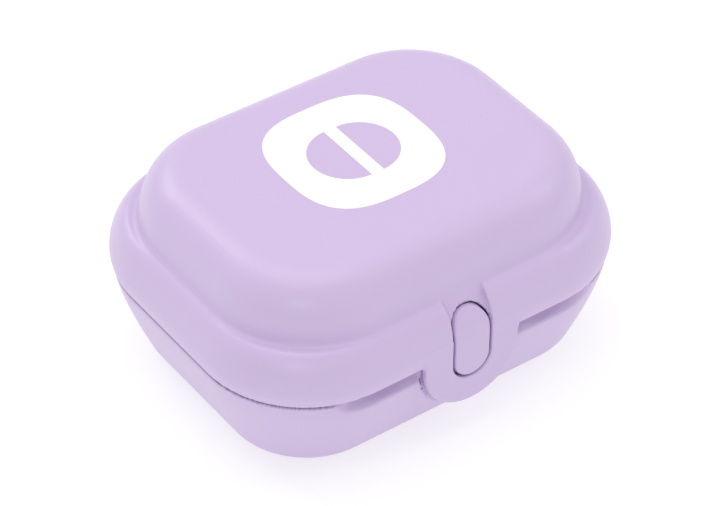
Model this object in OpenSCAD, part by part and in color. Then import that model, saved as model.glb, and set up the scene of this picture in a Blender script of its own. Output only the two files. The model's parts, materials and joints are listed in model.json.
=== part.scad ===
// Pill splitter: a clamshell pocket case with a guarded blade in its lid,
// V-shaped pill grips and two storage wells in its base, and a push-button catch.
// Millimetres, +Z up. +Y is the hinge side, -Y the catch side.

/* [Case] */
// Overall width of the case, left to right
case_w = 96; // [80:0.5:120]
// Depth of the case, without the hinge
case_d = 77; // [66:0.5:96]
// Corner radius at the widest level
corner_r = 24.4; // [18:0.1:30]
// Height of the flat top above the table
case_h = 45.4; // [40:0.1:52]
// Wall thickness of both shells
wall = 2.0; // [1.4:0.1:3]
// Top edge of the base
base_rim_z = 21.2; // [18:0.1:24]
// Lower edge of the lid
lid_rim_z = 21.7; // [18.5:0.1:24.5]
// Underside of the base shell, above the rubber feet
base_floor_z = 0.5; // [0:0.1:1]
// How far the lower edges sit in from the widest level
rim_inset = 0.72; // [0.3:0.01:1.2]

/* [Lid] */
// Level of the widest point
bulge_z = 25; // [23:0.1:27]
// Level of the crease between the two tiers
crease_z = 33; // [30:0.1:36]
// Inset of the lower tier at the crease
crease_inset = 4.4; // [3:0.1:6]
// Inset where the dome starts
dome_inset = 5.0; // [4:0.1:7]
// Inset of the flat top's edge
top_inset = 14.8; // [10:0.1:18]
// Corner radius of the dome, measured at the widest level
dome_r = 28; // [20:0.1:32]
// Half size of the label patch
label_r = 16.8; // [12:0.1:20]
// Distance of the label behind the middle
label_y = 2.65; // [-4:0.05:6]

/* [Catch] */
// Half width of the tab
tab_r = 11.6; // [9:0.1:14]
// Centre height of the tab's round end
tab_z = 19.8; // [17:0.1:22]
// Back face of the tab
tab_back_y = -36.8; // [-37.4:0.1:-36]
// Half width of the button
button_r = 4.3; // [3:0.1:6]
// Centre height of the button's lower end
button_z0 = 19.1; // [17:0.1:22]
// Centre height of the button's upper end
button_z1 = 26.3; // [24:0.1:30]
// Height of the spring behind the button
spring_z = 27.0; // [25:0.1:29]
// Gap between the button and its slot
button_gap = 0.5; // [0.2:0.05:0.8]

/* [Hinge] */
// Hinge axis, behind the middle of the case
hinge_y = 40.2; // [39:0.1:42]
// Height of the hinge axis
hinge_z = 21.45; // [20:0.05:23]
// Radius of the knuckles
knuckle_r = 2.6; // [2:0.1:4]
// Radius of the pin
pin_r = 1.2; // [0.8:0.1:1.6]
// Half length of the lid knuckle
lid_knuckle_x = 15.7; // [10:0.1:20]
// Outer end of the base knuckles
hinge_x = 26.3; // [20:0.1:30]

/* [Splitter] */
// Top of the tray
tray_z = 18.7; // [16:0.1:20]
// Thickness of the tray's plate
tray_t = 1.8; // [1.2:0.1:2.5]
// Height of the pill grips above the tray
grip_h = 4.3; // [3:0.1:5]
// Thickness of the blade
blade_t = 0.5; // [0.25:0.05:0.8]
// Front end of the blade
blade_y0 = -9; // [-12:0.5:-6]
// Rear end of the blade
blade_y1 = 15; // [10:0.5:18]
// Level of the cutting edge with the lid closed
blade_z0 = 18.2; // [17.5:0.1:18.6]
// Level of the blade's back
blade_z1 = 32; // [29:0.1:34]
// Length of the guard's slide
guard_travel = 7.5; // [5:0.1:8]

/* [Hidden] */
// The hinge stands out behind the case, so the case sits forward of the middle.
case_y = -(hinge_y + knuckle_r - case_d / 2) / 2;
hx = case_w / 2;
hy = case_d / 2;
front_y = -hy;
eps = 0.01;
// A free fit that leaves no overlap
fit = 0.02;
arc_n = 8;
ceiling_z = case_h - 2.2;
liner_z0 = 39.4;
liner_z1 = 41.0;
grip_z = tray_z + grip_h;
// Well extents in the tray
well_x0 = 14.5;
well_x1 = 37.5;
well_y0 = -22;
well_y1 = 25;
well_z = 6.0;
well_r = 9;
tray_front_y = -28;
post_x = 9.2;
post_ys = [-22, 26];
boss_y = -36.4;
// Boss outline about the tab's centre: upright sides and a full, rounded lower end
boss_pts = concat(
  [for (k = [0:20]) let (a = 180 + 9 * k)
    tab_r * [sign(cos(a)) * pow(abs(cos(a)), 2 / 3), -pow(abs(sin(a)), 2 / 3)]],
  [[tab_r, base_rim_z - tab_z], [-tab_r, base_rim_z - tab_z]]);
pin_ys = [-16.4, 22.4];
lip_z = 23.6;
// Finger grooves under the lid's edge: radius, bow in plan, centre and top
groove_r = 3.2;
groove_bow = 31.5;
groove_x = 20;
groove_y = -68.7;
groove_z = 21.2;
groove_top = 21.45;
// Front of the button, [y, z]: upright, then leaning back
button_face = [[-30, 10], [-38.5, 10], [-38.5, 24.5], [-38.35, 25.9], [-37.9, 27.3],
  [-37.15, 28.7], [-36.4, 29.8], [-35.8, 30.7], [-30, 30.7]];
guard_z0 = 24.6;
guard_z1 = 33;
carrier_y0 = -11;
carrier_y1 = 17;
liner_screw_x = 25;
liner_screw_y = 15.5;
housing_x = 10.2;
plunger_y = -31.8;
spring_back_y = -27.4;
$fn = 64;

body_col = [0.80, 0.73, 0.87];
tray_col = [0.93, 0.92, 0.95];
soft_col = [0.62, 0.52, 0.74];
steel_col = [0.75, 0.76, 0.78];
dark_col = [0.36, 0.33, 0.40];
white_col = [0.98, 0.98, 0.98];

// Each sub-part and where it is drawn

// ---- outlines -------------------------------------------------------------

// Inset of the base's outer wall at a level
function base_inset(z) =
  rim_inset + 6 * pow(max(0, base_rim_z - z) / (base_rim_z - 3), 1.3);

// Superellipse quarter: [inset, level] from a vertical start to a flat end
function tier(i0, i1, z0, z1, n) =
  [for (k = [0:arc_n]) let (t = 90 * k / arc_n)
    [i0 + (i1 - i0) * (1 - pow(cos(t), 2 / n)), z0 + (z1 - z0) * pow(sin(t), 2 / n)]];

lower_outer = concat(
  [[rim_inset, lid_rim_z], [0.34, 22.7], [0.08, 23.9]],
  tier(0, crease_inset, bulge_z, crease_z, 1.7));

dome_outer = concat(
  [[dome_inset, crease_z - 2]],
  tier(dome_inset, top_inset, crease_z, case_h, 2.2));

lower_inner = concat(
  [[wall, lid_rim_z - 1]],
  tier(wall, crease_inset + wall, bulge_z + 1, crease_z - 1.2, 1.7));

dome_inner = concat(
  [[dome_inset + wall, crease_z - 4]],
  tier(dome_inset + wall, top_inset + 1.2, crease_z - 1.2, ceiling_z, 2.2));

base_outer = concat(
  [for (t = [0, 24, 48, 66])
    [base_inset(3) + 3.5 - 3.66 * sin(t), base_floor_z + 3.54 * (1 - cos(t))]],
  [for (k = [0:9]) let (z = 3 + (base_rim_z - 3) * k / 9) [base_inset(z), z]]);

base_inner = concat(
  [[11.2, base_floor_z + 2], [9.5, 3.0], [8.55, 3.8]],
  [for (k = [0:8]) let (z = 4.6 + (base_rim_z - 4.6) * k / 8) [base_inset(z) + wall, z]],
  [[rim_inset + wall, base_rim_z + 1]]);

// Solid with rounded-rectangle outline, from a list of [inset, level]
module rr_solid(p, c = corner_r) {
  n = len(p);
  cx = hx - c;
  cy = hy - c;
  side = concat([[0, p[0][1]]], [for (q = p) [c - q[0], q[1]]], [[0, p[n - 1][1]]]);
  for (k = [0:3])
    translate([(k == 0 || k == 3) ? cx : -cx, k < 2 ? cy : -cy, 0])
      rotate([0, 0, 90 * k])
        rotate_extrude(angle = 90) polygon(side);
  rotate([90, 0, 90])
    translate([0, 0, -cx])
      linear_extrude(2 * cx)
        polygon(concat([for (q = p) [hy - q[0], q[1]]],
          [for (k = [n - 1:-1:0]) [p[k][0] - hy, p[k][1]]]));
  rotate([90, 0, 0])
    translate([0, 0, -cy])
      linear_extrude(2 * cy)
        polygon(concat([for (q = p) [hx - q[0], q[1]]],
          [for (k = [n - 1:-1:0]) [p[k][0] - hx, p[k][1]]]));
}

// Box from its two corners
module span(x0, x1, y0, y1, z0, z1) {
  translate([x0, y0, z0]) cube([x1 - x0, y1 - y0, z1 - z0]);
}

// Box mirrored about the middle plane
module span2(x, y0, y1, z0, z1) {
  span(-x, x, y0, y1, z0, z1);
}

// Cylinder along Y
module ycyl(r, x, z, y0, y1) {
  translate([x, y1, z]) rotate([90, 0, 0]) cylinder(r = r, h = y1 - y0);
}

// Cylinder along X
module xcyl(r, x0, x1, y, z) {
  translate([x0, y, z]) rotate([0, 90, 0]) cylinder(r = r, h = x1 - x0);
}

// Prism along Y with a straight top and a round lower end
module u_prism(r, zc, ztop, y0, y1) {
  intersection() {
    ycyl(r, 0, zc, y0, y1);
    span2(r + 1, y0 - 1, y1 + 1, zc - r - 1, ztop);
  }
  span2(r, y0, y1, zc, ztop);
}

module lid_form() {
  rr_solid(lower_outer);
  rr_solid(dome_outer, dome_r);
}

module lid_hollow() {
  rr_solid(lower_inner);
  rr_solid(dome_inner, dome_r);
}

// Prism along Y with two round ends
module obround(r, z0, z1, y0, y1) {
  ycyl(r, 0, z0, y0, y1);
  ycyl(r, 0, z1, y0, y1);
  span2(r, y0, y1, z0, z1);
}

// Box with rounded vertical edges
module rbox(x0, x1, y0, y1, z0, z1, r) {
  span(x0 + r, x1 - r, y0, y1, z0, z1);
  span(x0, x1, y0 + r, y1 - r, z0, z1);
  for (x = [x0 + r, x1 - r])
    for (y = [y0 + r, y1 - r])
      translate([x, y, z0]) cylinder(r = r, h = z1 - z0);
}

// Pan-head screw, head on +Z, with a cross recess
module pan_screw(shank_r, shank_l, head_r, head_h) {
  difference() {
    union() {
      translate([0, 0, -shank_l]) cylinder(r = shank_r, h = shank_l + eps);
      cylinder(r = head_r, h = head_h * 0.6);
      translate([0, 0, head_h * 0.6]) cylinder(r1 = head_r, r2 = head_r * 0.72, h = head_h * 0.4);
    }
    for (a = [0, 90])
      rotate([0, 0, a])
        translate([-head_r * 0.55, -0.2, head_h * 0.45]) cube([head_r * 1.1, 0.4, head_h]);
  }
}

// Round-wire coil spring along +Z
module coil(r, wire, h, turns) {
  seg = 14;
  ring = 6;
  n = turns * seg;
  pts = [for (k = [0:n]) for (j = [0:ring - 1])
    let (a = 360 * k / seg, b = 360 * j / ring)
    [(r + wire * cos(b)) * cos(a), (r + wire * cos(b)) * sin(a),
      wire + (h - 2 * wire) * k / n + wire * sin(b)]];
  sides = [for (k = [0:n - 1]) for (j = [0:ring - 1])
    let (a = k * ring + j, b = k * ring + (j + 1) % ring)
    [a, b, b + ring, a + ring]];
  polyhedron(points = pts, faces = concat(
    sides,
    [[for (j = [ring - 1:-1:0]) j]],
    [[for (j = [0:ring - 1]) n * ring + j]]), convexity = 10);
}

// Label outline: between a circle and a square
function label_pts(r) =
  [for (k = [0:71]) let (a = 5 * k, c = cos(a), s = sin(a))
    [r * sign(c) * pow(abs(c), 2 / 2.9), r * sign(s) * pow(abs(s), 2 / 2.9)]];

// ---- base -----------------------------------------------------------------

// Finger grooves on either side of the boss, in crescents
module grooves(r, top) {
  for (s = [-1, 1])
    translate([s * groove_x, groove_y, groove_z])
      rotate_extrude($fn = 96) intersection() {
        translate([groove_bow, 0]) circle(r = r);
        translate([0, -10]) square([groove_bow + 10, 10 + top - groove_z]);
      }
}

module base_shell() {
  color(body_col) translate([0, case_y, 0]) difference() {
    union() {
      difference() {
        rr_solid(base_outer);
        grooves(groove_r, groove_top);
        difference() {
          rr_solid(base_inner);
          grooves(groove_r + wall, 30);
        }
      }
      // lip that aligns the lid, open where the catch passes
      difference() {
        rr_solid([[2.3, 17], [2.3, lip_z]]);
        grooves(groove_r, groove_top);
        difference() {
          rr_solid([[3.6, 16.5], [3.6, 24]]);
          grooves(groove_r + wall, 30);
        }
        span2(8.5, -hy, -29, 16, 25);
      }
      // boss behind the tab
      translate([0, -28.5, tab_z])
        rotate([90, 0, 0]) linear_extrude(-28.5 - boss_y) polygon(boss_pts);
      // tray posts
      for (x = [-post_x, post_x])
        for (y = post_ys)
          translate([x, y, base_floor_z + 1]) cylinder(r = 3.2, h = tray_z - tray_t - base_floor_z - 1);
      // hinge knuckles
      for (s = [-1, 1]) {
        xcyl(knuckle_r, s > 0 ? 16 : -hinge_x, s > 0 ? hinge_x : -16, hinge_y, hinge_z);
        span(s > 0 ? 16 : -hinge_x, s > 0 ? hinge_x : -16, 36.6, hinge_y, hinge_z - knuckle_r, base_rim_z);
      }
    }
    // clearance for the tab
    u_prism(tab_r + 0.5, tab_z, base_rim_z + 1, -hy - 2, boss_y);
    // pocket for the catch hook
    span2(7, -hy, -30.5, 14, base_rim_z + 1);
    span2(7, -35.4, -30.5, 10.5, 15);
    span2(3.3, -35.42, -34.98, 9, 11);
    // screw holes in the posts
    for (x = [-post_x, post_x])
      for (y = post_ys)
        translate([x, y, 8]) cylinder(r = 1 + fit, h = 12);
    // hinge bore and room for the lid knuckle
    xcyl(pin_r + fit, -hinge_x - 1, hinge_x + 1, hinge_y, hinge_z);
    xcyl(knuckle_r + 0.35, -lid_knuckle_x - 0.3, lid_knuckle_x + 0.3, hinge_y, hinge_z);
    // seats of the feet
    for (x = [-29, 29])
      for (y = [-20, 20])
        translate([x, y, 0]) cylinder(r = 4.5, h = base_floor_z + 1);
  }
}

module feet() {
  color(dark_col) translate([0, case_y, 0])
    for (x = [-29, 29])
      for (y = [-20, 20])
        translate([x, y, 0]) {
          cylinder(r1 = 4.2, r2 = 4.5, h = 0.3);
          translate([0, 0, 0.3]) cylinder(r = 4.5, h = base_floor_z + 0.7);
        }
}

module hinge_pin() {
  color(steel_col) translate([0, case_y, 0])
    xcyl(pin_r, -hinge_x + 0.1, hinge_x - 0.1, hinge_y, hinge_z);
}

module rim_seal() {
  color(soft_col) translate([0, case_y, 0]) difference() {
    rr_solid([[2.45, lip_z], [2.45, 24.1], [2.75, 24.4]]);
    rr_solid([[3.45, 23], [3.45, 24.1], [3.15, 24.4], [3.15, 25]]);
    span2(8.5, -hy, -29, 23, 25);
  }
}

module catch_leaf() {
  color(steel_col) translate([0, case_y, 0]) {
    span2(3.2, -35.4, -35, 9.02, 14.4);
    span2(3.2, -35.4, -34.2, 14, 14.4);
  }
}

// ---- splitting station ----------------------------------------------------

module well(s) {
  rbox(s > 0 ? well_x0 - 1.5 : -well_x1 - 1.5, s > 0 ? well_x1 + 1.5 : 1.5 - well_x0,
    well_y0 - 1.5, well_y1 + 1.5, well_z - 1.5, tray_z - tray_t + eps, well_r + 1.5);
}

module well_hole(s) {
  rbox(s > 0 ? well_x0 : -well_x1, s > 0 ? well_x1 : -well_x0,
    well_y0, well_y1, well_z, tray_z + 1, well_r);
}

module splitter_tray() {
  color(tray_col) translate([0, case_y, 0]) difference() {
    union() {
      intersection() {
        rr_solid([[3.9, tray_z - tray_t], [3.9, tray_z]]);
        span2(hx, tray_front_y, hy, 0, 40);
      }
      for (s = [-1, 1])
        well(s);
      // posts that hold the guard up while the lid is closed
      for (x = [-7.2, 5.5]) {
        span(x, x + 1.7, -13.4, -11.8, tray_z - eps, guard_z0 - 0.3);
        span(x, x + 1.7, 17, 18.6, tray_z - eps, guard_z0 - 0.3);
      }
    }
    for (s = [-1, 1])
      well_hole(s);
    // seat of the cutting mat, and the blade's slot
    rbox(-7.6, 7.6, -11.2, 16.4, tray_z - 0.8, tray_z + 1, 1.5);
    span2(0.8, -9.6, 15.6, tray_z - 3, tray_z);
    // peg holes of the grips
    for (x = [-8.9, 8.9])
      for (y = [-5, 9])
        translate([x, y, tray_z - 3]) cylinder(r = 0.9 + fit, h = 4);
    for (x = [-post_x, post_x])
      for (y = post_ys)
        translate([x, y, tray_z - 3]) cylinder(r = 1.1, h = 4);
  }
}

module tray_screws() {
  color(steel_col) translate([0, case_y, 0])
    for (x = [-post_x, post_x])
      for (y = post_ys)
        translate([x, y, tray_z]) pan_screw(1, 9, 2, 1.3);
}

// Soft jaw; the face slants so that two jaws form a V open to the front
module grip() {
  translate([0, 0, tray_z]) linear_extrude(grip_h)
    polygon([[0.9, 13.5], [10, 13.5], [10, -9.5], [8.4, -9.5], [0.9, 10.5]]);
  // ribs on the slanted face
  for (k = [0:6])
    translate([8.1 - 0.9375 * k, -8 + 2.5 * k, tray_z + 0.4]) cylinder(r = 0.45, h = grip_h - 0.8, $fn = 24);
  for (y = [-5, 9])
    translate([8.9, y, tray_z - 1.6]) cylinder(r = 0.9, h = 2);
}

module pill_grip_right() {
  color(soft_col) translate([0, case_y, 0]) grip();
}

module pill_grip_left() {
  color(soft_col) translate([0, case_y, 0]) mirror([1, 0, 0]) grip();
}

module cutting_mat() {
  color(dark_col) translate([0, case_y, 0]) difference() {
    rbox(-7.6 + fit, 7.6 - fit, -11.2 + fit, 16.4 - fit, tray_z - 0.8, tray_z, 1.5);
    span2(0.6, -9.6, 15.6, tray_z - 1, tray_z + 1);
  }
}

// ---- lid ------------------------------------------------------------------

module lid_shell() {
  color(body_col) translate([0, case_y, 0]) difference() {
    union() {
      difference() {
        union() {
          lid_form();
          u_prism(tab_r, tab_z, bulge_z, front_y, tab_back_y);
        }
        lid_hollow();
        span2(7, tab_back_y, -34, tab_z - tab_r, 24.4);
      }
      // seat of the rim seal
      difference() {
        rr_solid([[1.8, 24.8], [1.8, 26]]);
        rr_solid([[4.2, 24], [4.2, 27]]);
        span2(14, -hy, -28, 24, 27);
      }
      // bosses for the liner and the button housing
      for (x = [-liner_screw_x, liner_screw_x])
        for (y = [-liner_screw_y, liner_screw_y])
          translate([x, y, liner_z1]) cylinder(r = 3.2, h = ceiling_z - liner_z1 + 0.5);
      for (x = [-housing_x, housing_x])
        ycyl(2.2, x, spring_z, -37, -32.4);
      // hinge knuckle
      xcyl(knuckle_r, -lid_knuckle_x, lid_knuckle_x, hinge_y, hinge_z);
      span2(lid_knuckle_x, 36.6, hinge_y, lid_rim_z, hinge_z + knuckle_r);
    }
    // slot of the button, and the recess above it
    obround(button_r + button_gap, button_z0, button_z1 - 0.2, -hy - 2, -32.6);
    rotate([90, 0, 90])
      translate([0, 0, -button_r - button_gap])
        linear_extrude(2 * (button_r + button_gap))
          polygon([[-42, 26.5], [-42, 33.3], [-33.8, 33.3], [-35, 30.9], [-35.5, 30.2],
            [-36.1, 29.5], [-38, 26.5]]);
    // label seat
    translate([0, label_y, case_h - 0.6]) linear_extrude(1) polygon(label_pts(label_r));
    // screw holes
    for (x = [-liner_screw_x, liner_screw_x])
      for (y = [-liner_screw_y, liner_screw_y])
        translate([x, y, liner_z1 - 1]) cylinder(r = 1 + fit, h = 4.2);
    for (x = [-housing_x, housing_x])
      ycyl(0.9 + fit, x, spring_z, -35.8, -32);
    // running bore on the pin, and room for the base knuckles
    xcyl(pin_r + 0.05, -lid_knuckle_x - 1, lid_knuckle_x + 1, hinge_y, hinge_z);
    for (s = [-1, 1])
      xcyl(knuckle_r + 0.35, s > 0 ? lid_knuckle_x : -hinge_x - 0.3, s > 0 ? hinge_x + 0.3 : -lid_knuckle_x,
        hinge_y, hinge_z);
  }
}

module label_plate() {
  color(white_col) translate([0, case_y + label_y, 0]) difference() {
    translate([0, 0, case_h - 0.6]) linear_extrude(0.6) polygon(label_pts(label_r - fit));
    motif(case_h - 0.2, 1, 0);
  }
}

// Two halves of a tablet with a gap between them
module motif(z, h, inset) {
  for (s = [-1, 1])
    translate([s * 1.5, 0, z]) intersection() {
      cylinder(r = 8.4 - inset, h = h, $fn = 96);
      translate([s > 0 ? inset : -10, -10, -1]) cube([10 - inset, 20, h + 2]);
    }
}

module label_motif() {
  color(body_col) translate([0, case_y + label_y, 0]) motif(case_h - 0.2, 0.2, 0.02);
}

module lid_liner() {
  color(tray_col) translate([0, case_y, 0]) difference() {
    rbox(-30, 30, -20.5, 20.5, liner_z0, liner_z1, 9);
    for (x = [-liner_screw_x, liner_screw_x])
      for (y = [-liner_screw_y, liner_screw_y])
        translate([x, y, liner_z0 - 1]) cylinder(r = 1.1, h = 4);
    for (y = [-7, 13])
      translate([0, y, liner_z0 - 1]) cylinder(r = 1.1, h = 4);
    translate([0, pin_ys[0], liner_z0 - 1]) cylinder(r = 1.25 + fit, h = 4);
    // weight-saving windows
    for (s = [-1, 1])
      rbox(s > 0 ? 9 : -20, s > 0 ? 20 : -9, -14, 14, liner_z0 - 1, liner_z1 + 1, 3);
  }
}

module liner_screws() {
  color(steel_col) translate([0, case_y, 0])
    for (x = [-liner_screw_x, liner_screw_x])
      for (y = [-liner_screw_y, liner_screw_y])
        translate([x, y, liner_z0]) mirror([0, 0, 1]) pan_screw(1, 4.4, 2, 1.2);
}

module blade_carrier() {
  color(tray_col) translate([0, case_y, 0]) difference() {
    span2(5, carrier_y0, carrier_y1, 27.2, liner_z0);
    // slot of the blade
    span2(blade_t / 2 + fit, blade_y0 - 0.1, blade_y1 + 0.1, 27, blade_z1 + 0.1);
    // seat of the clamp
    span(0, 6, blade_y0 + 0.6, blade_y1 - 0.6, 27, blade_z1 + 0.1);
    for (y = [-3, 9])
      xcyl(0.9 + fit, -4, 1, y, 29.7);
    for (y = [-7, 13])
      translate([0, y, 33.5]) cylinder(r = 1 + fit, h = 8);
  }
}

module carrier_screws() {
  color(steel_col) translate([0, case_y, 0])
    for (y = [-7, 13])
      translate([0, y, liner_z1]) pan_screw(1, 7, 2, 1.2);
}

module blade() {
  color(steel_col) translate([0, case_y, 0]) difference() {
    translate([0, blade_y1, 0]) rotate([90, 0, 0]) linear_extrude(blade_y1 - blade_y0)
      polygon([[0, blade_z0], [blade_t / 2, blade_z0 + 2.2], [blade_t / 2, blade_z1],
        [-blade_t / 2, blade_z1], [-blade_t / 2, blade_z0 + 2.2]]);
    for (y = [-3, 9])
      xcyl(1.1, -1, 1, y, 29.7);
  }
}

module blade_clamp() {
  color(steel_col) translate([0, case_y, 0]) difference() {
    span(blade_t / 2 + 0.02, 2.1, blade_y0 + 0.9, blade_y1 - 0.9, 27.6, 31.8);
    for (y = [-3, 9])
      xcyl(1.0, 0, 3, y, 29.7);
  }
}

module clamp_screws() {
  color(steel_col) translate([0, case_y, 0])
    for (y = [-3, 9])
      translate([2.1, y, 29.7]) rotate([0, 90, 0]) pan_screw(0.9, 5.6, 1.7, 1.0);
}

// Pins that the guard slides on, with stop heads
module guide_pins() {
  color(steel_col) translate([0, case_y, 0])
    for (y = pin_ys)
      translate([0, y, 0]) {
        translate([0, 0, 20]) cylinder(r = 2.2, h = 1.2);
        translate([0, 0, 21.1]) cylinder(r = 1.25, h = liner_z1 - 21.1);
        translate([0, 0, liner_z1]) cylinder(r = 2, h = 0.8);
      }
}

module button_housing() {
  color(tray_col) translate([0, case_y, 0]) difference() {
    union() {
      ycyl(4.6, 0, spring_z, -32.4, -26);
      span2(13, -32.4, -31, spring_z - 2.2, spring_z + 2.2);
    }
    ycyl(3.3, 0, spring_z, -33, spring_back_y);
    for (x = [-housing_x, housing_x])
      ycyl(1.0, x, spring_z, -33, -30);
  }
}

module housing_screws() {
  color(steel_col) translate([0, case_y, 0])
    for (x = [-housing_x, housing_x])
      translate([x, -31, spring_z]) rotate([-90, 0, 0]) pan_screw(0.9, 4.6, 1.7, 1.0);
}

// ---- catch button ---------------------------------------------------------

module latch_button() {
  color(body_col) translate([0, case_y, 0]) {
    intersection() {
      obround(button_r, button_z0, button_z1, front_y - 1, -34.6);
      rotate([90, 0, 90]) translate([0, 0, -6]) linear_extrude(12) polygon(button_face);
    }
    // flange behind the tab
    span2(6.3, -36.5, -35.3, 14.8, 24);
    // plunger into the housing
    ycyl(3, 0, spring_z, -36, plunger_y);
    // arm, stem and toe of the hook
    span2(3.5, -35.4, -33, 16, 18);
    span2(3.5, -33.9, -32.9, 12.7, 18);
    span2(3, -34.8, -33.8, 12.7, 13.7);
  }
}

module button_spring() {
  color(steel_col) translate([0, case_y + plunger_y, spring_z])
    rotate([-90, 0, 0]) coil(2.2, 0.28, spring_back_y - plunger_y, 4);
}

// ---- blade guard ----------------------------------------------------------

module blade_guard() {
  color(soft_col) translate([0, case_y, 0]) difference() {
    union() {
      span2(6.6, -14, 20, guard_z0, guard_z1);
      span2(7.4, -14, 20, guard_z0, guard_z0 + 1.2);
      span2(3.2, pin_ys[0] - 2.8, -13, 29, guard_z1);
      span2(3.2, 19, pin_ys[1] + 2.8, 29, guard_z1);
    }
    span2(5.4, -12.8, 18.8, guard_z0 + 1.2, guard_z1 + 1);
    span2(0.8, -10, 16, guard_z0 - 1, guard_z0 + 2);
    for (y = pin_ys)
      translate([0, y, 28]) cylinder(r = 1.35, h = 6);
  }
}

module guard_springs() {
  color(steel_col) translate([0, case_y, 0])
    for (y = pin_ys)
      translate([0, y, guard_z1]) coil(2.0, 0.25, liner_z0 - guard_z1, 5);
}

base_shell();
feet();
hinge_pin();
splitter_tray();
tray_screws();
pill_grip_left();
pill_grip_right();
cutting_mat();
rim_seal();
catch_leaf();
lid_shell();
label_plate();
label_motif();
lid_liner();
liner_screws();
blade_carrier();
carrier_screws();
blade();
blade_clamp();
clamp_screws();
guide_pins();
button_housing();
housing_screws();
latch_button();
button_spring();
blade_guard();
guard_springs();
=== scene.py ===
import json
import math

import bmesh
import bpy
import numpy as np
from mathutils import Matrix, Vector


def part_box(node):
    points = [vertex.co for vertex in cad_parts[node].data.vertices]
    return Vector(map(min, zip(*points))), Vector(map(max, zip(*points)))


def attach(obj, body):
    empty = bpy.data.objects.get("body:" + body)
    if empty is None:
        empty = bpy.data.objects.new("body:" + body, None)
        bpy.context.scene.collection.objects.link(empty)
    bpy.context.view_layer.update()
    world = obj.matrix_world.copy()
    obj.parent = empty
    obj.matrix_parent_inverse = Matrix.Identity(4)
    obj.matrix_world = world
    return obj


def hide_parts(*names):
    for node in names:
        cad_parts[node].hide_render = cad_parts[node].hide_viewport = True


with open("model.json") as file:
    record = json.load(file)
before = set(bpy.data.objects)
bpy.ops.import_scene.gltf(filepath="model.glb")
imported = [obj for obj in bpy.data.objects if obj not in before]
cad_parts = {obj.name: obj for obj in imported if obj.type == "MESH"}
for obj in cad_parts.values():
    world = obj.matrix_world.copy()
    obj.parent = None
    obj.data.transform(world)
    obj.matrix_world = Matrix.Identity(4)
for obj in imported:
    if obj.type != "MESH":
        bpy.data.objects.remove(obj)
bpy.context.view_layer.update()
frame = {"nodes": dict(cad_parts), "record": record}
NODES = frame["nodes"]

# ---------------------------------------------------------------- sizes, mm
HX, HY = 48.0, 38.5              # half width and half depth of the case
CORNER, DOME_CORNER = 24.4, 28.0  # corner radius of the shells and of the dome, at inset 0
WALL = 2.0
BASE_RIM, LID_RIM = 21.2, 21.7   # facing edges of the two shells
RIM_INSET = 0.72
TOP = 45.34                      # lid top; the label's face stands a hair above
BULGE, CREASE = 25.0, 33.0
CREASE_IN, DOME_IN, TOP_IN = 4.4, 5.0, 14.8
TAB_R, TAB_Z, TAB_BACK = 11.6, 19.8, -36.8
BUTTON_R, BUTTON_Z0, BUTTON_Z1, BUTTON_GAP = 4.3, 19.1, 26.3, 0.5
SPRING_Z = 27.0                  # height of the plunger behind the button
HINGE_Y, HINGE_Z, KNUCKLE_R, PIN_R = 40.2, 21.45, 2.6, 1.2
LID_KNUCKLE, BASE_KNUCKLE, HINGE_END = 15.7, 16.0, 26.3   # ends of the knuckles along X
KNUCKLE_ROOT, KNUCKLE_GAP = 36.6, 0.35   # where the knuckles leave the shell; room round the other's
LABEL_R, LABEL_Y, LABEL_POWER = 16.8, 2.65, 2.9
TABLET_R, TABLET_GAP = 8.4, 1.5  # the halved tablet on the label, and half the gap between its halves
GROOVE_X, GROOVE_Y, GROOVE_Z = 20.0, -68.7, 21.2   # centre of the arc that a finger groove follows
GROOVE_BOW, GROOVE_R, GROOVE_TOP = 31.5, 3.2, 21.45
LIP_IN, LIP_OUT, LIP_Z = 3.6, 2.3, 23.6  # aligning lip of the base: its insets and its top
LINER_X, LINER_Y = 25.0, 15.5    # posts that hold the lid liner
HOUSING_X = 10.2                 # posts that hold the button housing
TRAY_X, TRAY_YS = 9.2, (-22, 26)  # posts that hold the tray
POST_R, HOUSING_POST_R, PILOT_R, HOUSING_PILOT_R = 3.2, 2.2, 1.02, 0.92
FOOT_X, FOOT_Y, FOOT_R, FOOT_SEAT = 29.0, 20.0, 4.5, 1.5
CASE_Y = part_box("lid_shell")[0][1] * 1000 + HY   # the case sits forward of the hinge


# ------------------------------------------------------- distance functions
# Each takes arrays of millimetres and returns a signed distance, inside < 0.

def smooth_min(a, b, k):
    h = np.clip(0.5 + 0.5 * (b - a) / k, 0, 1)
    return b + (a - b) * h - k * h * (1 - h)


def smooth_max(a, b, k):
    return -smooth_min(-a, -b, k)


def slab(v, lo, hi):
    return np.maximum(lo - v, v - hi)


def block(x, y, z, x0, x1, y0, y1, z0, z1):
    d = [np.abs(v - (a + b) / 2) - (b - a) / 2
         for v, a, b in ((x, x0, x1), (y, y0, y1), (z, z0, z1))]
    out = np.sqrt(sum(np.maximum(v, 0) ** 2 for v in d))
    return out + np.minimum(np.maximum(np.maximum(d[0], d[1]), d[2]), 0)


def rod(u, v, w, r, w0, w1):
    """Cylinder along w, centred where u and v are 0."""
    a = np.hypot(u, v) - r
    b = slab(w, w0, w1)
    return np.minimum(np.maximum(a, b), 0) + np.hypot(np.maximum(a, 0), np.maximum(b, 0))


def stadium(u, v, v0, v1, r):
    """Section of a long hole: two round ends at v0 and v1, radius r."""
    return np.hypot(u, v - np.clip(v, v0, v1)) - r


def tier(i0, i1, z0, z1, n, steps=28):
    """Superellipse quarter of [inset, level], vertical at its start and flat at its end."""
    points = []
    for a in np.radians(np.linspace(0, 90, steps)):
        cos = math.cos(a) if a < math.pi / 2 else 0.0
        points.append((i0 + (i1 - i0) * (1 - cos ** (2 / n)),
                       z0 + (z1 - z0) * math.sin(a) ** (2 / n)))
    return points


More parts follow.
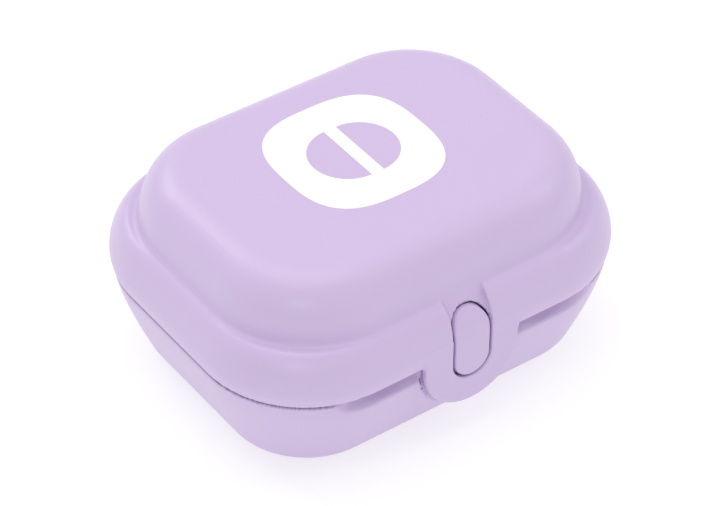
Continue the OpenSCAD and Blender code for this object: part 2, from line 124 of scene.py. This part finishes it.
def base_inset(z):
    return RIM_INSET + 6 * max(0.0, (BASE_RIM - z) / (BASE_RIM - 3)) ** 1.3


class Profile:
    """2-D signed distance of a closed outline in (inset, level), sampled on a grid."""
    STEP = 0.1

    def __init__(self, points):
        p = np.array(points, float)
        self.lo = np.array([-8.0, -6.0])
        n = (int(36 / self.STEP), int(60 / self.STEP))
        gx = self.lo[0] + self.STEP * np.arange(n[0])
        gz = self.lo[1] + self.STEP * np.arange(n[1])
        x, z = np.meshgrid(gx, gz, indexing="ij")
        best = np.full(x.shape, 1e9)
        inside = np.zeros(x.shape, bool)
        for a, b in zip(p, np.roll(p, -1, axis=0)):
            e = b - a
            t = np.clip(((x - a[0]) * e[0] + (z - a[1]) * e[1]) / max(e @ e, 1e-12), 0, 1)
            best = np.minimum(best, np.hypot(x - a[0] - t * e[0], z - a[1] - t * e[1]))
            if a[1] != b[1]:
                cross = (a[1] > z) != (b[1] > z)
                inside ^= cross & (x < a[0] + (z - a[1]) * e[0] / e[1])
        self.grid = np.where(inside, -best, best)

    def __call__(self, q, z):
        u = np.clip((q - self.lo[0]) / self.STEP, 0, self.grid.shape[0] - 1.001)
        v = np.clip((z - self.lo[1]) / self.STEP, 0, self.grid.shape[1] - 1.001)
        i, j = u.astype(int), v.astype(int)
        s, t = u - i, v - j
        g = self.grid
        return ((g[i, j] * (1 - s) + g[i + 1, j] * s) * (1 - t)
                + (g[i, j + 1] * (1 - s) + g[i + 1, j + 1] * s) * t)


def closed(side):
    """An outline from its outer side, bottom to top, closed through the middle."""
    return [(40.0, side[0][1])] + list(side) + [(40.0, side[-1][1])]


# The shells' sections. The dome stands on the lower tier, and both have an inner wall.
LOWER_SKIN = Profile(closed(
    [(RIM_INSET, LID_RIM), (0.34, 22.7), (0.08, 23.9)] + tier(0, CREASE_IN, BULGE, CREASE, 1.7)))
DOME_SKIN = Profile(closed([(DOME_IN, 28)] + tier(DOME_IN, TOP_IN, CREASE, TOP, 2.2)))
LOWER_HOLLOW = Profile(closed(
    [(WALL, LID_RIM - 3)] + tier(WALL, CREASE_IN + WALL, BULGE + 1, CREASE - 1.2, 1.7)))
DOME_HOLLOW = Profile(closed(
    [(DOME_IN + WALL, 28)] + tier(DOME_IN + WALL, TOP_IN + 1.2, CREASE - 1.2, 43.2, 2.2)))
FOOT_ARC = [(base_inset(3) + 3.5 - 3.66 * math.sin(math.radians(t)),
             0.5 + 3.54 * (1 - math.cos(math.radians(t)))) for t in range(0, 72, 6)]
BASE_SKIN = Profile(closed(
    FOOT_ARC + [(base_inset(z), z) for z in np.linspace(3, BASE_RIM, 28)]))
BASE_HOLLOW = Profile(closed(
    [(11.2, 2.5), (9.5, 3.0), (8.55, 3.8)]
    + [(base_inset(z) + WALL, z) for z in np.linspace(4.6, BASE_RIM, 24)]
    + [(RIM_INSET + WALL, BASE_RIM + 3)]))


def inset(x, y, c=CORNER):
    """How far a point lies inside the widest outline, whose corner radius is c."""
    return c - np.hypot(np.maximum(np.abs(x) - HX + c, 0), np.maximum(np.abs(y) - HY + c, 0))


def ring(x, y, z, i0, i1, z0, z1):
    """A band that follows the outline, between two insets."""
    return np.maximum(slab(inset(x, y), i0, i1), slab(z, z0, z1))


def tab_shape(x, z, r):
    return np.where(z < TAB_Z, np.hypot(x, z - TAB_Z), np.abs(x)) - r


def lid_body(x, y, z):
    """Two tiers that meet in a soft crease."""
    return smooth_min(LOWER_SKIN(inset(x, y), z), DOME_SKIN(inset(x, y, DOME_CORNER), z), 1.6)


def lid_skin(x, y, z):
    """Outer form of the lid, with the tab that hangs from its front."""
    body = lid_body(x, y, z)
    tab = smooth_max(smooth_max(tab_shape(x, z, TAB_R), slab(y, -HY, TAB_BACK), 0.5), z - 25.5, 0.5)
    return np.maximum(smooth_min(body, tab, 0.9), -HY - y)


def lid_field(x, y, z):
    ax = np.abs(x)
    d = lid_skin(x, y, z)
    hollow = np.minimum(LOWER_HOLLOW(inset(x, y), z), DOME_HOLLOW(inset(x, y, DOME_CORNER), z))
    pad_behind_ramp = block(x, y, z, -7.5, 7.5, -39, -34.2, 28, 31.8)
    hollow = np.maximum(hollow, -pad_behind_ramp)
    behind_tab = block(x, y, z, -7, 7, TAB_BACK, -33, 6, 24.4)
    d = smooth_max(d, -hollow, 0.35)
    d = smooth_max(d, -behind_tab, 0.3)
    gap_for_button = block(x, y, z, -14, 14, -60, -28, 20, 30)
    seat = np.maximum(ring(x, y, z, 1.8, 4.2, 24.8, 26.0), -gap_for_button)
    d = smooth_min(d, seat, 0.4)
    d = smooth_min(d, rod(ax - LINER_X, np.abs(y) - LINER_Y, z, POST_R, 41.0, 43.7), 0.5)
    d = smooth_min(d, rod(ax - HOUSING_X, z - SPRING_Z, y, HOUSING_POST_R, -37, -32.4), 0.4)
    knuckle = np.minimum(rod(y - HINGE_Y, z - HINGE_Z, x, KNUCKLE_R, -LID_KNUCKLE, LID_KNUCKLE),
                         block(x, y, z, -LID_KNUCKLE, LID_KNUCKLE, KNUCKLE_ROOT, HINGE_Y,
                               LID_RIM, HINGE_Z + KNUCKLE_R))
    d = smooth_min(d, knuckle, 0.5)
    # slot of the button, and the ramp above it
    slot = np.maximum(stadium(x, z, BUTTON_Z0, BUTTON_Z1 - 0.2, BUTTON_R + BUTTON_GAP), y + 32.6)
    floor_y = np.interp(z, [25.0, 26.5, 29.5, 30.2, 30.9, 33.3],
                        [-39.0, -38.0, -36.1, -35.5, -35.0, -33.8])
    ramp = np.maximum(np.maximum(ax - BUTTON_R - BUTTON_GAP, (y - floor_y) * 0.75),
                      np.maximum(25.0 - z, z - 34.5))
    d = smooth_max(d, -slot, 0.45)
    d = smooth_max(d, -ramp, 0.45)
    # screw holes, hinge bore, room for the base's knuckles
    d = np.maximum(d, -rod(ax - LINER_X, np.abs(y) - LINER_Y, z, PILOT_R, 40.0, 44.2))
    d = np.maximum(d, -rod(ax - HOUSING_X, z - SPRING_Z, y, HOUSING_PILOT_R, -35.8, -32))
    from_pin = np.hypot(y - HINGE_Y, z - HINGE_Z)
    d = smooth_max(d, -(from_pin - PIN_R - 0.05), 0.1)
    relief = np.maximum(from_pin - KNUCKLE_R - KNUCKLE_GAP, slab(ax, LID_KNUCKLE, HINGE_END + 0.3))
    return np.maximum(d, -relief)


def groove(x, y, z, r):
    """Crescents under the lid's edge, either side of the boss: a rod of radius r bent round an arc."""
    from_arc = np.hypot(np.abs(x) - GROOVE_X, y - GROOVE_Y) - GROOVE_BOW
    return np.hypot(from_arc, z - GROOVE_Z) - r


def boss_shape(x, z):
    """Upright sides and a full, rounded lower end."""
    low = np.maximum(TAB_Z - z, 0)
    return (np.abs(x) ** 3 + low ** 3) ** (1 / 3) - TAB_R


def base_field(x, y, z):
    q = inset(x, y)
    ax = np.abs(x)
    cut = np.maximum(groove(x, y, z, GROOVE_R), z - GROOVE_TOP)
    groove_wall = groove(x, y, z, GROOVE_R + WALL)
    skin = smooth_max(BASE_SKIN(q, z), -cut, 1.0)
    hollow = np.maximum(BASE_HOLLOW(q, z), -groove_wall)
    d = smooth_max(skin, -hollow, 0.35)
    gap_for_button = block(x, y, z, -8.5, 8.5, -60, -29, 10, 30)
    lip = np.maximum(np.maximum(LIP_OUT - q, slab(z, 17, LIP_Z)), -cut)
    lip = np.maximum(lip, np.minimum(q - LIP_IN, groove_wall))
    lip = np.maximum(lip, -gap_for_button)
    d = smooth_min(d, lip, 0.3)
    boss = smooth_max(np.maximum(boss_shape(x, z), z - BASE_RIM), slab(y, -36.4, -28.5), 0.5)
    d = smooth_min(d, boss, 1.0)
    for y0 in TRAY_YS:
        d = smooth_min(d, rod(ax - TRAY_X, y - y0, z, POST_R, 1.5, 16.9), 0.6)
    from_pin = np.hypot(y - HINGE_Y, z - HINGE_Z)
    along = slab(ax, BASE_KNUCKLE, HINGE_END)
    root = np.maximum(slab(y, KNUCKLE_ROOT, HINGE_Y), slab(z, HINGE_Z - KNUCKLE_R, BASE_RIM))
    knuckle = np.maximum(along, np.minimum(from_pin - KNUCKLE_R, root))
    d = smooth_min(d, knuckle, 0.5)
    # clearance for the tab, and the pocket of the catch hook
    d = smooth_max(d, -np.maximum(np.maximum(tab_shape(x, z, TAB_R + 0.5), y + 36.4), z - 40), 0.3)
    d = smooth_max(d, -block(x, y, z, -7, 7, -60, -30.5, 14, 40), 0.3)
    d = smooth_max(d, -block(x, y, z, -7, 7, -35.4, -30.5, 10.5, 15), 0.2)
    # screw holes, hinge bore, room for the lid knuckle, foot seats
    for y0 in TRAY_YS:
        d = np.maximum(d, -rod(ax - TRAY_X, y - y0, z, PILOT_R, 8, 30))
    d = smooth_max(d, -(from_pin - PIN_R), 0.1)
    d = np.maximum(d, -np.maximum(from_pin - KNUCKLE_R - KNUCKLE_GAP, ax - LID_KNUCKLE - 0.3))
    return np.maximum(d, -rod(ax - FOOT_X, np.abs(y) - FOOT_Y, z, FOOT_R, -5, FOOT_SEAT))


def button_field(x, y, z):
    """The face is upright, then leans back towards its top."""
    front = np.interp(z, [24.5, 25.9, 27.3, 28.7, 29.8, 30.7, 31.5],
                      [-38.5, -38.35, -37.9, -37.15, -36.4, -35.8, -35.2])
    face = smooth_max(stadium(x, z, BUTTON_Z0, BUTTON_Z1, BUTTON_R), (front - y) * 0.9, 0.6)
    face = np.maximum(face, y + 34.6)
    plunger = rod(x, z - SPRING_Z, y, 3, -36, -31.8)
    plate_behind = block(x, y, z, -6.3, 6.3, -36.5, -35.3, 14.8, 24)
    arm = block(x, y, z, -3.5, 3.5, -35.4, -33, 16, 18)
    shank = block(x, y, z, -3.5, 3.5, -33.9, -32.9, 12.7, 18)
    hook = block(x, y, z, -3, 3, -34.8, -33.8, 12.7, 13.7)
    d = face
    for piece in (plate_behind, plunger, arm, shank, hook):
        d = np.minimum(d, piece)
    return d


# ------------------------------------------------------------ mesh builders

def gradient(field, p, h=0.05):
    g = np.empty_like(p)
    for k in range(3):
        step = np.zeros(3)
        step[k] = h
        a, b = p + step, p - step
        g[:, k] = (field(*a.T) - field(*b.T)) / (2 * h)
    return g / np.maximum(np.linalg.norm(g, axis=1, keepdims=True), 1e-9)


def settle(field, p, reach, rounds=3):
    """Moves points onto the surface, each by no more than reach."""
    start = p.copy()
    for _ in range(rounds):
        p = p - gradient(field, p) * np.clip(field(*p.T), -reach, reach)[:, None]
        off = p - start
        far = np.linalg.norm(off, axis=1, keepdims=True)
        p = start + off * np.minimum(1, reach / np.maximum(far, 1e-9))
    return p


def relax(mesh, field, p, reach):
    """Settles the points, then smooths away any face that is folded against the field."""
    mesh.calc_loop_triangles()
    tri = np.empty(len(mesh.loop_triangles) * 3, np.int64)
    mesh.loop_triangles.foreach_get("vertices", tri)
    tri = tri.reshape(-1, 3)
    edge = np.empty(len(mesh.edges) * 2, np.int64)
    mesh.edges.foreach_get("vertices", edge)
    edge = np.concatenate([edge.reshape(-1, 2), edge.reshape(-1, 2)[:, ::-1]])
    near = np.bincount(edge[:, 0], minlength=len(p))
    p = settle(field, p, reach)
    for _ in range(30):
        a, b, c = p[tri[:, 0]], p[tri[:, 1]], p[tri[:, 2]]
        face = np.cross(b - a, c - a)
        size = np.maximum(np.linalg.norm(face, axis=1), 1e-12)
        out = gradient(field, (a + b + c) / 3, 0.1)
        bad = (face * out).sum(axis=1) < 0.3 * size
        if not bad.any():
            break
        move = np.zeros(len(p), bool)
        move[tri[bad].ravel()] = True
        mean = np.stack([np.bincount(edge[:, 0], p[edge[:, 1], k], len(p)) for k in range(3)], axis=1)
        mean /= np.maximum(near, 1)[:, None]
        p[move] += 0.6 * (mean[move] - p[move])
        p[move] = settle(field, p[move], reach)
    return p


def surface_net(field, lo, hi, step):
    """Vertices and quads where field is 0 inside a box."""
    axes = [np.arange(a, b + step, step) for a, b in zip(lo, hi)]
    n = [len(a) for a in axes]
    x, y, z = np.meshgrid(*axes, indexing="ij")
    f = np.empty(x.shape, np.float32)
    for i in range(0, n[0], 16):
        f[i:i + 16] = field(x[i:i + 16], y[i:i + 16], z[i:i + 16])
    inside = f < 0
    corner = [(i, j, k) for i in (0, 1) for j in (0, 1) for k in (0, 1)]
    count = sum(inside[i:n[0] - 1 + i, j:n[1] - 1 + j, k:n[2] - 1 + k].astype(np.int8)
                for i, j, k in corner)
    cell = np.argwhere((count > 0) & (count < 8))
    index = np.full([m - 1 for m in n], -1, np.int64)
    index[tuple(cell.T)] = np.arange(len(cell))
    value = {c: f[tuple((cell + c).T)] for c in corner}
    total = np.zeros((len(cell), 3))
    hits = np.zeros(len(cell))
    for a in corner:
        for k in range(3):
            if a[k]:
                continue
            b = tuple(v + (m == k) for m, v in enumerate(a))
            cross = (value[a] < 0) != (value[b] < 0)
            t = np.where(cross, value[a] / np.where(cross, value[a] - value[b], 1), 0)
            point = np.array(a, float) + t[:, None] * (np.arange(3) == k)
            total += point * cross[:, None]
            hits += cross
    verts = np.array(lo) + (cell + total / hits[:, None]) * step
    quads = []
    for k in range(3):
        u, v = (k + 1) % 3, (k + 2) % 3
        head = [slice(None)] * 3
        head[k] = slice(0, -1)
        tail = [slice(None)] * 3
        tail[k] = slice(1, None)
        change = inside[tuple(head)] != inside[tuple(tail)]
        at = np.argwhere(change)
        at = at[(at[:, u] > 0) & (at[:, v] > 0) & (at[:, u] < n[u] - 1) & (at[:, v] < n[v] - 1)]
        du, dv = np.eye(3, dtype=int)[u], np.eye(3, dtype=int)[v]
        q = np.stack([index[tuple((at + o).T)] for o in (-du - dv, -dv, 0 * du, -du)], axis=1)
        flip = ~inside[tuple(at.T)]
        q[flip] = q[flip][:, ::-1]
        quads.append(q)
    return verts, np.concatenate(quads)


def mesh_from_field(name, field, lo, hi, step, keep):
    """A shaded mesh of a distance field, thinned to a share of its faces, in the row frame."""
    verts, quads = surface_net(field, lo, hi, step)
    verts = settle(field, verts, step * 0.6)
    mesh = bpy.data.meshes.new(name)
    mesh.from_pydata(verts.tolist(), [], quads.tolist())
    obj = bpy.data.objects.new(name, mesh)
    bpy.context.scene.collection.objects.link(obj)
    thin = obj.modifiers.new("thin", "DECIMATE")
    thin.ratio = keep
    thin.use_symmetry = True
    thin.symmetry_axis = "X"
    done = bpy.data.meshes.new_from_object(obj.evaluated_get(bpy.context.evaluated_depsgraph_get()))
    obj.modifiers.clear()
    obj.data = done
    done.name = name
    p = np.empty(len(done.vertices) * 3)
    done.vertices.foreach_get("co", p)
    p = p.reshape(-1, 3)
    p = relax(done, field, p, step * 0.5)
    normals = gradient(field, p, 0.12)
    p[:, 1] += CASE_Y
    done.vertices.foreach_set("co", (p / 1000).ravel())
    done.update()
    done.polygons.foreach_set("use_smooth", [True] * len(done.polygons))
    done.normals_split_custom_set_from_vertices(normals.tolist())
    return obj


# ---------------------------------------------------------------- materials

def srgb(r, g, b):
    return tuple((v / 255 / 12.92) if v / 255 <= 0.04045 else ((v / 255 + 0.055) / 1.055) ** 2.4
                 for v in (r, g, b)) + (1.0,)


ROUGH_SPREAD = 0.05   # how far the grain takes the roughness either way


def material(name, colour, rough=0.4, metallic=0.0, grain=900.0, bump=0.02, mottle=0.03, subsurface=0.0,
             stretch=(1, 1, 1)):
    """Principled surface with fine grain in its bump, roughness and colour."""
    m = bpy.data.materials.new(name)
    m.use_nodes = True
    nodes, links = m.node_tree.nodes, m.node_tree.links
    shader = nodes["Principled BSDF"]
    shader.inputs["Metallic"].default_value = metallic
    shader.inputs["Subsurface Weight"].default_value = subsurface
    shader.inputs["Subsurface Radius"].default_value = (0.004, 0.003, 0.004)
    shader.inputs["Subsurface Scale"].default_value = 0.5
    coord = nodes.new("ShaderNodeTexCoord")
    place = nodes.new("ShaderNodeMapping")
    place.inputs["Scale"].default_value = stretch
    links.new(coord.outputs["Object"], place.inputs["Vector"])
    fine = nodes.new("ShaderNodeTexNoise")
    fine.inputs["Scale"].default_value = grain
    fine.inputs["Detail"].default_value = 3
    broad = nodes.new("ShaderNodeTexNoise")
    broad.inputs["Scale"].default_value = 60
    broad.inputs["Detail"].default_value = 2
    for t in (fine, broad):
        links.new(place.outputs["Vector"], t.inputs["Vector"])
    ramp = nodes.new("ShaderNodeMapRange")
    ramp.inputs["To Min"].default_value = rough - ROUGH_SPREAD
    ramp.inputs["To Max"].default_value = rough + ROUGH_SPREAD
    links.new(fine.outputs["Fac"], ramp.inputs["Value"])
    links.new(ramp.outputs["Result"], shader.inputs["Roughness"])
    tint = nodes.new("ShaderNodeMix")
    tint.data_type = "RGBA"
    tint.inputs["A"].default_value = tuple(v * (1 - mottle) for v in colour[:3]) + (1,)
    tint.inputs["B"].default_value = tuple(min(1, v * (1 + mottle)) for v in colour[:3]) + (1,)
    links.new(broad.outputs["Fac"], tint.inputs["Factor"])
    links.new(tint.outputs["Result"], shader.inputs["Base Color"])
    height = nodes.new("ShaderNodeBump")
    height.inputs["Strength"].default_value = 1.0
    height.inputs["Distance"].default_value = bump / 1000
    links.new(fine.outputs["Fac"], height.inputs["Height"])
    links.new(height.outputs["Normal"], shader.inputs["Normal"])
    return m


SHELL = material("lilac_shell", srgb(206, 186, 223), rough=0.36, bump=0.008, mottle=0.01, subsurface=0.03)
WHITE = material("white_print", srgb(250, 250, 252), rough=0.45, bump=0.006, mottle=0.006, grain=700)
TRAY = material("pale_tray", srgb(232, 226, 240), rough=0.48, bump=0.02, mottle=0.015)
GUARD = material("violet_guard", srgb(150, 126, 186), rough=0.4, bump=0.02, mottle=0.02)
GRIP = material("soft_grip", srgb(170, 146, 202), rough=0.72, bump=0.05, mottle=0.04, grain=500)
MAT = material("dark_mat", srgb(96, 84, 112), rough=0.8, bump=0.06, mottle=0.06, grain=420)
FOOT = material("foot_rubber", srgb(110, 100, 124), rough=0.8, bump=0.06, mottle=0.06, grain=420)
STEEL = material("steel", srgb(196, 198, 202), rough=0.3, metallic=1.0, bump=0.01, mottle=0.05)
BLADE = material("ground_blade", srgb(208, 210, 214), rough=0.22, metallic=1.0, bump=0.015, mottle=0.05,
                 grain=600, stretch=(1, 0.08, 1))
FINISH = {   # by the record's material slot
    "shell": SHELL, "white_print": WHITE, "tray": TRAY, "guard": GUARD, "grip": GRIP,
    "mat": MAT, "foot_rubber": FOOT, "steel": STEEL, "blade_steel": BLADE,
}


def dress(obj, mat):
    obj.data.materials.clear()
    obj.data.materials.append(mat)


for part in frame["record"]["subparts"]:
    obj = NODES[part["node"]]
    for s in obj.material_slots:
        s.link = "OBJECT"
        s.material = FINISH[part["material_slot"]]


# ------------------------------------------------------------------- pieces

def stand_in(obj, node, body, slot):
    dress(obj, FINISH[slot])
    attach(obj, body)
    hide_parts(node)


CELL = 0.55   # of the shells' surface nets, mm
lid = mesh_from_field("lid_form", lid_field, (-50, -40, 6.5), (50, 44, 46.5), CELL, 0.6)
stand_in(lid, "lid_shell", "lid", "shell")
base = mesh_from_field("base_form", base_field, (-50, -40, -0.5), (50, 44, 25), CELL, 0.6)
stand_in(base, "base_shell", "base", "shell")
button = mesh_from_field("button_form", button_field, (-8, -39.5, 11), (8, -30, 33), 0.22, 0.3)
stand_in(button, "latch_button", "button", "shell")


def plate(name, outline, z0, z1, edge):
    """A flat piece from a closed outline, with a fine rounded top edge, mm."""
    bm = bmesh.new()
    levels = [(z0, 0), (z1 - edge, 0), (z1 - edge * 0.3, edge * 0.3), (z1, edge)]
    rings = []
    centre = np.mean(outline, axis=0)
    for z, cut in levels:
        level = []
        for point in outline:
            out = np.array(point) - centre
            x, y = centre + out * (1 - cut / max(np.linalg.norm(out), 1e-6))
            level.append(bm.verts.new((x / 1000, (y + CASE_Y) / 1000, z / 1000)))
        rings.append(level)
    n = len(outline)
    for a, b in zip(rings, rings[1:]):
        for i in range(n):
            bm.faces.new((a[i], a[(i + 1) % n], b[(i + 1) % n], b[i]))
    bm.faces.new(rings[-1])
    bm.faces.new(rings[0][::-1])
    mesh = bpy.data.meshes.new(name)
    bm.to_mesh(mesh)
    bm.free()
    obj = bpy.data.objects.new(name, mesh)
    bpy.context.scene.collection.objects.link(obj)
    return obj


def signed_power(v, e):
    return math.copysign(abs(v) ** e, v)


angles = [2 * math.pi * k / 240 for k in range(240)]
squircle = [(LABEL_R * signed_power(math.cos(a), 2 / LABEL_POWER),
             LABEL_Y + LABEL_R * signed_power(math.sin(a), 2 / LABEL_POWER)) for a in angles]
stand_in(plate("label_face", squircle, 45.0, 45.38, 0.03), "label_plate", "lid", "white_print")

arc = [math.radians(-90 + 180 * k / 72) for k in range(73)]
for side, name in ((-1, "tablet_half_left"), (1, "tablet_half_right")):
    half_disc = [(side * (TABLET_GAP + TABLET_R * math.cos(a)), LABEL_Y + TABLET_R * math.sin(a))
                 for a in arc]
    stand_in(plate(name, half_disc[::side], 45.1, 45.4, 0.02), "label_motif", "lid", "shell")

# -------------------------------------------------------------------- stage

bpy.ops.mesh.primitive_plane_add(size=3, location=(0, 0, 0))
floor = bpy.context.object
floor.name = "floor"
FLOOR_FINISH = material("floor", (0.5, 0.5, 0.5, 1), rough=0.8, bump=0.0, mottle=0.002)
glow = FLOOR_FINISH.node_tree.nodes["Principled BSDF"].inputs
glow["Emission Color"].default_value = (1, 1, 1, 1)
glow["Emission Strength"].default_value = 0.56
dress(floor, FLOOR_FINISH)

world = bpy.data.worlds.new("studio")
bpy.context.scene.world = world
world.use_nodes = True
sky = world.node_tree.nodes["Background"]
sky.inputs["Color"].default_value = (1, 1, 1, 1)
sky.inputs["Strength"].default_value = 0.66
bpy.context.scene.view_settings.view_transform = "Standard"


LAMP_AIM = Vector((0, 0, 0.02))


def lamp(name, place, size, watts):
    """A square soft box, aimed at the middle of the case."""
    light = bpy.data.lights.new(name, "AREA")
    light.energy = watts
    light.size = size
    obj = bpy.data.objects.new(name, light)
    bpy.context.scene.collection.objects.link(obj)
    way = Vector(place) - LAMP_AIM
    obj.matrix_world = Matrix.Translation(place) @ way.to_track_quat("Z", "Y").to_matrix().to_4x4()


lamp("top_box", (0.0, 0.1, 1.0), 0.8, 2.8)
lamp("right_box", (0.8, -0.35, 0.8), 0.5, 1.4)
lamp("back_box", (-0.2, 0.9, 0.75), 0.5, 2.6)
lamp("corner_box", (-0.62, -0.62, 0.48), 0.2, 0.7)

# ------------------------------------------------------------------- camera

AZIMUTH, ELEVATION, ROLL = math.radians(35.834), math.radians(40.203), math.radians(0.275)
DISTANCE, LENS = 0.63805, 153.44
target = Vector((0, CASE_Y / 1000, 0.022))
back = Vector((-math.sin(AZIMUTH) * math.cos(ELEVATION), -math.cos(AZIMUTH) * math.cos(ELEVATION),
               math.sin(ELEVATION)))
data = bpy.data.cameras.new("camera")
data.lens = LENS
data.sensor_width = 36
data.shift_x = 0.0009
data.shift_y = -0.0107
data.clip_start = 0.01
camera = bpy.data.objects.new("camera", data)
bpy.context.scene.collection.objects.link(camera)
turn = back.to_track_quat("Z", "Y").to_matrix().to_4x4() @ Matrix.Rotation(ROLL, 4, "Z")
camera.matrix_world = Matrix.Translation(target + back * DISTANCE) @ turn
bpy.context.scene.camera = camera
